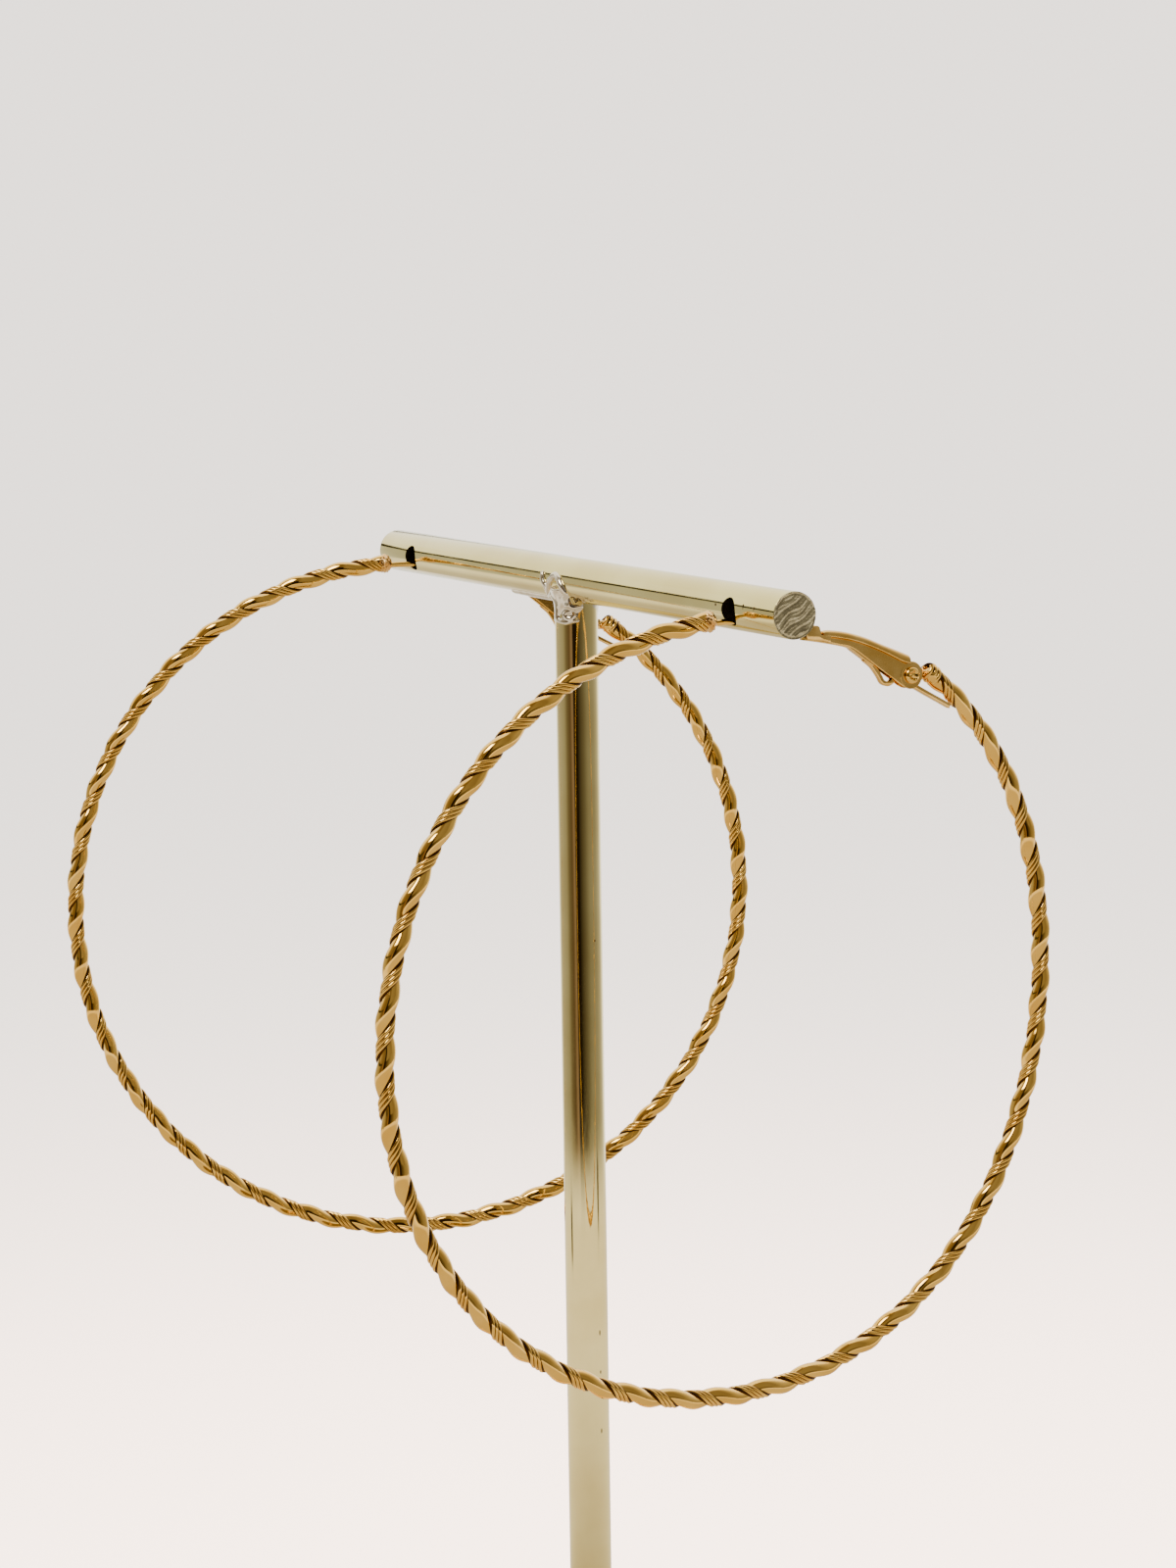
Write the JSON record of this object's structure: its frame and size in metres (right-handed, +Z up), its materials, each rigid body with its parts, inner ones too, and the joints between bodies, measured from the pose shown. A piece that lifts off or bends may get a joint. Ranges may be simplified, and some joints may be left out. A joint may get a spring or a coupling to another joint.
{
  "type": "pair of twisted-wire hoop earrings on a t-bar stand",
  "caption": "Large twisted-wire gold hoops with hinged latch levers, hung by their posts on a plain metal t-bar stand with a round base.",
  "frame": {"origin": "centre of the base's underside, under the pole", "axes": "+Z up along the pole, Y along the bar with the nearer hoop of the picture at -Y, X through the bar's holes with the latches at +X"},
  "size_m": [0.0853, 0.1035, 0.1475],
  "materials": {
    "champagne_metal": "polished pale champagne metal",
    "polished_gold": "mirror-polished yellow gold",
    "satin_gold": "satin yellow gold"
  },
  "bodies": {
    "stand_and_hoops": {"base": "champagne_metal", "t_bar": "champagne_metal", "front_heavy_strand": "polished_gold", "front_fine_strands": "polished_gold", "front_spring_leaf": "satin_gold", "front_rivet": "polished_gold", "back_heavy_strand": "polished_gold", "back_fine_strands": "polished_gold", "back_spring_leaf": "satin_gold", "back_rivet": "polished_gold"},
    "front_latch": {"front_latch_lever": "satin_gold"},
    "back_latch": {"back_latch_lever": "satin_gold"}
  },
  "joints": [
    {"name": "front_latch_hinge", "type": "hinge", "parent": "stand_and_hoops", "child": "front_latch", "pos_m": [0.02054, -0.03886, 0.13646], "axis": [0.088, -0.9961, 0], "range_deg": [0, 80]},
    {"name": "back_latch_hinge", "type": "hinge", "parent": "stand_and_hoops", "child": "back_latch", "pos_m": [0.01909, 0.03585, 0.13568], "axis": [-0.2487, -0.9686, 0], "range_deg": [0, 80]}
  ]
}
